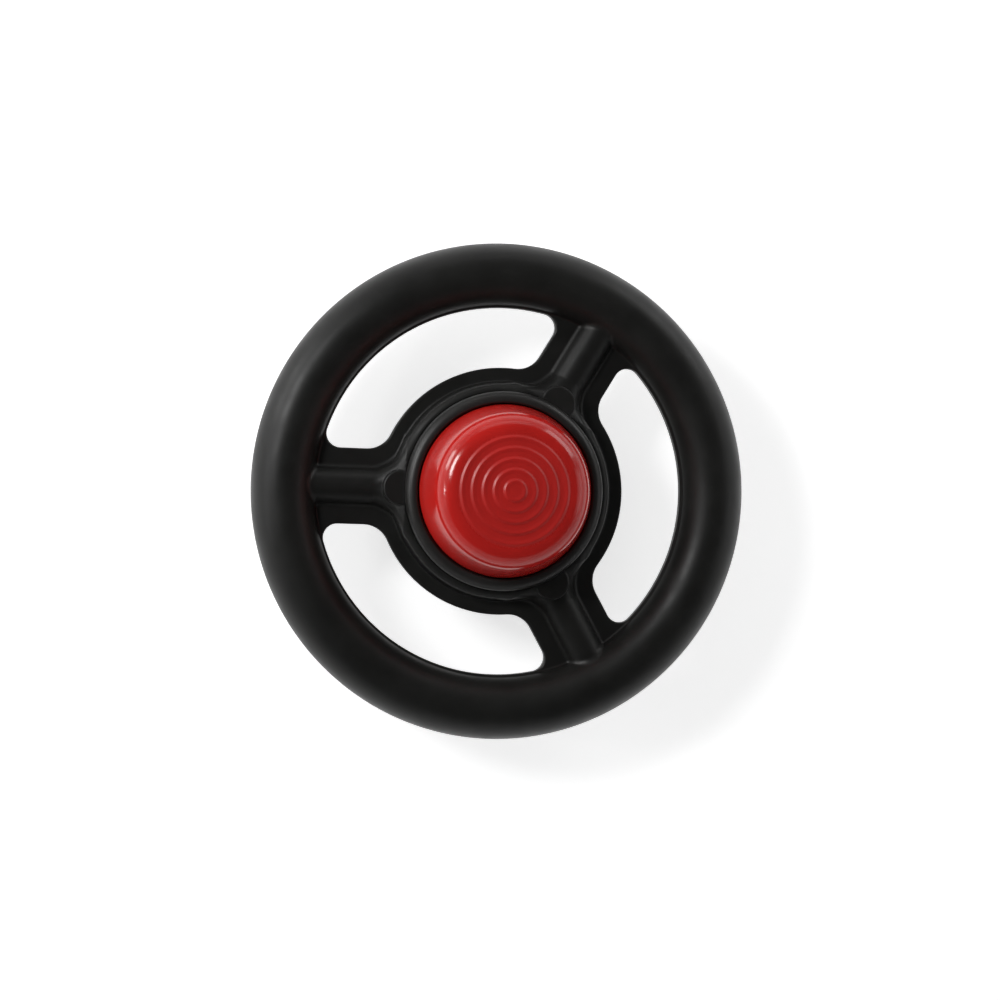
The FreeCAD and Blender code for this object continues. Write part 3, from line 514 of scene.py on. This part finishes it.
class Shade:
    """A node material under construction."""

    def __init__(self, name):
        self.made = bpy.data.materials.new(name)
        self.made.use_nodes = True
        self.tree = self.made.node_tree
        self.shader = self.tree.nodes["Principled BSDF"]
        self.place = self.node("ShaderNodeTexCoord").outputs["Object"]

    def node(self, kind, inputs=(), **settings):
        """A new node: sockets among the inputs are linked, and numbers are set."""
        made = self.tree.nodes.new(kind)
        for key, value in settings.items():
            setattr(made, key, value)
        for key, value in dict(inputs).items():
            self.feed(value, made.inputs[key])
        return made

    def feed(self, value, socket):
        """Links a socket to another, or sets it to a value."""
        if isinstance(value, bpy.types.NodeSocket):
            self.tree.links.new(value, socket)
        else:
            socket.default_value = value

    def noise(self, size, detail=3, stretch=None):
        """Noise with features of a size in millimetres."""
        place = self.place
        if stretch:
            place = self.node("ShaderNodeMapping", {"Vector": place, "Scale": stretch})
            place = place.outputs["Vector"]
        made = self.node("ShaderNodeTexNoise",
                         {"Vector": place, "Scale": 1 / (size * MM), "Detail": detail})
        return made.outputs["Fac"]

    def spread(self, value, low, high, source=(0.35, 0.65), kind="LINEAR"):
        """A value's middle range spread over low to high."""
        made = self.node("ShaderNodeMapRange", {
            "Value": value, "From Min": source[0], "From Max": source[1],
            "To Min": low, "To Max": high,
        }, interpolation_type=kind)
        return made.outputs["Result"]

    def times(self, one, other):
        """The product of two values."""
        made = self.node("ShaderNodeMath", {0: one, 1: other}, operation="MULTIPLY")
        return made.outputs[0]

    def mix(self, share, one, other):
        """A mix of two colours, each a colour or a socket."""
        made = self.node("ShaderNodeMix", data_type="RGBA")
        self.feed(share, made.inputs["Factor"])
        for value, socket in ((one, made.inputs[6]), (other, made.inputs[7])):
            self.feed(value if isinstance(value, bpy.types.NodeSocket) else (*value, 1), socket)
        return made.outputs[2]

    def edges(self, amount):
        """A patchy share that is high on worn outer edges."""
        unworn, worn, patch = 0.53, 0.66, 3
        sharp = self.node("ShaderNodeNewGeometry").outputs["Pointiness"]
        return self.times(self.spread(sharp, 0, amount, (unworn, worn)), self.noise(patch))

    def bump(self, height, depth, normal=None):
        """A bump of a depth in millimetres, over another normal if one is given."""
        inputs = {"Height": height, "Strength": 1, "Distance": depth * MM}
        if normal is not None:
            inputs["Normal"] = normal
        return self.node("ShaderNodeBump", inputs).outputs["Normal"]

    def finish(self, colour, rough, normal, **constant):
        """Connects the shader and sets what is the same all over on its own sockets."""
        self.feed(colour, self.shader.inputs["Base Color"])
        self.feed(rough, self.shader.inputs["Roughness"])
        self.feed(normal, self.shader.inputs["Normal"])
        for key, value in constant.items():
            self.shader.inputs[key.replace("_", " ")].default_value = value
        return self.made


def tinted(colour, factor, lift=0.0):
    """A colour made lighter or darker."""
    return tuple(min(1.0, channel * factor + lift) for channel in colour)


def moulded(name, colour, rough, grain=0.5, depth=0.006, wear=0.5, bevel=0.0, **constant):
    """Moulded plastic: faint flow clouds, fine grain, uneven gloss and rubbed edges. Grain,
    depth and bevel are in millimetres."""
    cloud_size, gloss_size, wave_size, wave_depth = 38, 14, 22, 0.05
    shade = Shade(name)
    clouds = shade.noise(cloud_size, 5)
    fine = shade.noise(grain, 2)
    colours = shade.mix(shade.spread(clouds, 0, 1), tinted(colour, 0.8), tinted(colour, 1.2))
    colours = shade.mix(shade.edges(wear), colours, tinted(colour, 1.6, 0.012))
    gloss = shade.spread(shade.noise(gloss_size, 4), rough * 0.9, rough * 1.1)
    normal = None
    if bevel:
        normal = shade.node("ShaderNodeBevel", {"Radius": bevel * MM}, samples=6)
        normal = normal.outputs["Normal"]
    wave = shade.bump(shade.noise(wave_size, 1), wave_depth, normal)
    return shade.finish(colours, gloss, shade.bump(fine, depth, wave), **constant)


def glossy_red(name, colour):
    """Injection-moulded red: glossy with faint fine scratches, satin on the crown."""
    satin_radius = 33 * MM
    satin_rough, satin_depth, satin_grain = 0.2, 0.008, 0.5
    scratch_size, scratch_depth, scratch_stretch = 0.5, 0.0003, (1, 0.08, 1)
    shade = Shade(name)
    clouds = shade.noise(30, 3)
    colours = shade.mix(shade.spread(clouds, 0, 1), tinted(colour, 0.93), tinted(colour, 1.07))
    colours = shade.mix(shade.edges(0.25), colours, tinted(colour, 1.25, 0.02))
    flat = shade.node("ShaderNodeVectorMath", {0: shade.place, 1: (1, 1, 0)},
                      operation="MULTIPLY").outputs["Vector"]
    out = shade.node("ShaderNodeVectorMath", {0: flat}, operation="LENGTH").outputs["Value"]
    satin = shade.spread(out, 1, 0, (0.97 * satin_radius, 1.05 * satin_radius))
    scratches = shade.noise(scratch_size, 2, scratch_stretch)
    gloss = shade.spread(scratches, 0.12, 0.18)
    gloss = shade.node("ShaderNodeMath", {0: satin, 1: satin_rough, 2: gloss},
                       operation="MULTIPLY_ADD").outputs[0]
    wave = shade.bump(shade.noise(12, 1), 0.02)
    scored = shade.bump(scratches, scratch_depth, wave)
    grain = shade.times(satin, shade.noise(satin_grain, 2))
    grained = shade.bump(grain, satin_depth, scored)
    return shade.finish(colours, gloss, grained, Specular_IOR_Level=0.5)


def plated_steel(name, colour, rough):
    """Zinc-plated or drawn steel: streaky gloss, cloudy tint and fine scratches."""
    shade = Shade(name)
    streaks = shade.noise(0.7, 3, (1, 1, 0.1))
    colours = shade.mix(shade.spread(shade.noise(6, 4), 0, 1), tinted(colour, 0.82), colour)
    colours = shade.mix(shade.edges(0.6), colours, tinted(colour, 1.2))
    gloss = shade.spread(streaks, rough * 0.75, rough * 1.3)
    return shade.finish(colours, gloss, shade.bump(streaks, 0.004), Metallic=1.0)


def foam(name, colour):
    """Closed-cell foam: a matt skin of small round cells."""
    cell, depth = 0.7 * MM, 0.12
    shade = Shade(name)
    cells = shade.node("ShaderNodeTexVoronoi", {"Vector": shade.place, "Scale": 1 / cell})
    cells = cells.outputs["Distance"]
    # painted shade: each cell is darker at its middle, where the bump sinks it into a pit
    colours = shade.mix(shade.spread(cells, 0, 1, (0, 0.6)), tinted(colour, 0.6), colour)
    return shade.finish(colours, shade.spread(cells, 0.8, 0.95), shade.bump(cells, depth),
                        Specular_IOR_Level=0.2)


def paint(item, made):
    """A new piece gets its material."""
    item.data.materials.clear()
    item.data.materials.append(made)


def repaint(made, *names):
    """The CAD nodes keep their shape and get a better material."""
    for name in names:
        item = nodes[name]
        if not item.data.materials:
            item.data.materials.append(made)
        for index in range(len(item.data.materials)):
            item.data.materials[index] = made


def dress():
    """Every visible piece and every CAD node gets its material."""
    wheel = make_wheel_skin()
    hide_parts("wheel_body")
    paint(wheel, moulded("satin_black", (0.0098, 0.0098, 0.0091), 0.42,
                         Specular_IOR_Level=0.30))
    collar = make_collar()
    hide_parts("bezel_ring")
    paint(collar, moulded("collar_black", (0.0135, 0.0130, 0.0122), 0.40, wear=0.3,
                          Specular_IOR_Level=0.42))
    button = make_button()
    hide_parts("horn_button")
    paint(button, glossy_red("button_red", (0.49, 0.014, 0.011)))

    drawn_steel = plated_steel("drawn_steel", (0.50, 0.49, 0.47), 0.36)
    vinyl = moulded("soft_vinyl", (0.55, 0.47, 0.33), 0.6, 0.8, 0.02,
                    Specular_IOR_Level=0.3, Sheen_Weight=0.1)
    for soft, node, made, slot in (
        (make_spring(), "return_spring", drawn_steel, "spring_steel"),
        (make_bellows(), "squeaker_bellows", vinyl, "soft_rubber"),
    ):
        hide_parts(node)
        paint(soft, made)
        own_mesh(soft)

    repaint(moulded("base_black", (0.020, 0.020, 0.022), 0.5, 0.9, 0.02, bevel=0.8),
            "base_plate", "vent_plug")
    repaint(moulded("dark_grey", (0.05, 0.05, 0.053), 0.45, bevel=0.4),
            "horn_tray", "button_retainer")
    repaint(moulded("natural_nylon", (0.62, 0.60, 0.52), 0.35, bevel=0.3,
                    Subsurface_Weight=0.1, Subsurface_Scale=0.002),
            "lower_bush", "upper_bush", "lower_thrust_washer", "reed_holder")
    repaint(moulded("blue_nylon", (0.02, 0.08, 0.34), 0.35), "lock_nut_ring")
    repaint(moulded("reed_film", (0.75, 0.75, 0.70), 0.25), "reed_tongue")
    repaint(foam("foam_rubber", (0.05, 0.05, 0.052)), "buffer_ring")
    repaint(plated_steel("zinc_plate", (0.66, 0.68, 0.72), 0.28), "coach_bolt", "lock_nut",
            "upper_thrust_washer", "tray_screws", "retainer_screws")
    repaint(drawn_steel, "spacer_sleeve")
    repaint(plated_steel("phosphated_steel", (0.06, 0.06, 0.065), 0.5), "bezel_screws")


# ---- the studio ----


def make_floor():
    """A pale matt floor under the base's mounting face. Far off it sweeps up into a
    backdrop whose glow fades with height."""
    flat, sweep, wall_top, fade_top = 3.0, 1.2, 2.4, 0.9
    glow, far_share, arc_steps, segments = 0.66, 0.15, 10, 96
    outline = [(flat * share, 0) for share in (0.0001, 0.1, 0.3, 0.6, 1)]
    for step in range(1, arc_steps + 1):
        turn = math.pi / 2 * step / arc_steps
        outline.append((flat + sweep * math.sin(turn), sweep * (1 - math.cos(turn))))
    outline.append((flat + sweep, wall_top))
    turns = np.linspace(0, 2 * math.pi, segments, endpoint=False)[:, None]
    points = np.array(outline)
    rows = len(points)
    vertices = np.stack([
        points[:, 0] * np.cos(turns), points[:, 0] * np.sin(turns),
        np.broadcast_to(points[:, 1], (segments, rows)),
    ], 2).reshape(-1, 3)
    here = np.arange(segments)[:, None] * rows + np.arange(rows - 1)
    there = (np.arange(segments)[:, None] + 1) % segments * rows + np.arange(rows - 1)
    faces = np.stack([here, here + 1, there + 1, there], 2).reshape(-1, 4)
    mesh = bpy.data.meshes.new("floor")
    mesh.from_pydata(vertices.tolist(), [], faces.tolist())
    mesh.polygons.foreach_set("use_smooth", [True] * len(mesh.polygons))
    floor = bpy.data.objects.new("floor", mesh)
    bpy.context.scene.collection.objects.link(floor)
    shade = Shade("pale_floor")
    height = shade.node("ShaderNodeSeparateXYZ", {"Vector": shade.place}).outputs["Z"]
    fade = shade.spread(height, glow, far_share * glow, (0, fade_top), "SMOOTHSTEP")
    shade.feed(fade, shade.shader.inputs["Emission Strength"])
    shade.finish((0.93, 0.93, 0.93, 1), 0.9, shade.bump(shade.noise(4), 0.01),
                 Specular_IOR_Level=0.1, Emission_Color=(1, 1, 1, 1))
    mesh.materials.append(shade.made)


def softbox(name, turn, tilt, distance, width, height, power):
    """An area light that faces the wheel. Turn is about +Z from +X, tilt is from +Z, both in
    degrees; sizes are in metres and power is in watts."""
    light = bpy.data.lights.new(name, "AREA")
    light.shape = "RECTANGLE"
    light.size, light.size_y = width, height
    light.energy = power
    item = bpy.data.objects.new(name, light)
    turn, tilt = math.radians(turn), math.radians(tilt)
    way = Vector((*polar(math.sin(tilt), turn), math.cos(tilt)))
    item.location = Vector((0, 0, RIM_PLANE * MM)) + way * distance
    item.rotation_euler = (-way).to_track_quat("-Z", "Y").to_euler()
    bpy.context.scene.collection.objects.link(item)


def light_studio():
    """A dim even world and eight softboxes, the strongest at the upper left."""
    world = bpy.data.worlds.new("studio")
    bpy.context.scene.world = world
    world.use_nodes = True
    background = world.node_tree.nodes["Background"]
    background.inputs["Color"].default_value = (0.97, 0.98, 1.0, 1)
    background.inputs["Strength"].default_value = 0.06
    softbox("key", 152, 46, 1.5, 0.42, 0.28, 8.5)
    softbox("upper_left", 150, 74, 1.5, 0.45, 0.4, 5.0)
    softbox("left", 176, 80, 1.6, 1.4, 0.8, 0.5)
    softbox("left_fill", 176, 60, 1.6, 1.0, 0.6, 0.35)
    softbox("top", 90, 65, 1.6, 1.2, 0.5, 1.0)
    softbox("right", 0, 62, 1.7, 0.8, 0.8, 1.3)
    softbox("upper_right", 40, 70, 1.7, 0.8, 0.6, 4.2)
    softbox("left_small", 179, 64, 1.6, 0.12, 0.10, 1.8)
    bpy.context.scene.view_settings.view_transform = "Standard"


def make_camera():
    """A camera in front of the wheel, 8.5 degrees to its left, with +Y up."""
    distance, tilt, below = 1.2, math.radians(8.5), 0.0053
    frame_width = 0.6056            # of the plane through the rim's middle
    data = bpy.data.cameras.new("camera")
    data.sensor_width = 36
    data.lens = data.sensor_width * distance / frame_width
    camera = bpy.data.objects.new("camera", data)
    bpy.context.scene.collection.objects.link(camera)
    back = Vector((-math.sin(tilt), 0, math.cos(tilt)))
    up = Vector((0, 1, 0))
    right = up.cross(back)
    place = Vector((0, -below, RIM_PLANE * MM)) + back * distance
    turn = Matrix((right, up, back)).transposed()
    camera.matrix_world = Matrix.Translation(place) @ turn.to_4x4()
    bpy.context.scene.camera = camera


dress()
make_floor()
light_studio()
make_camera()
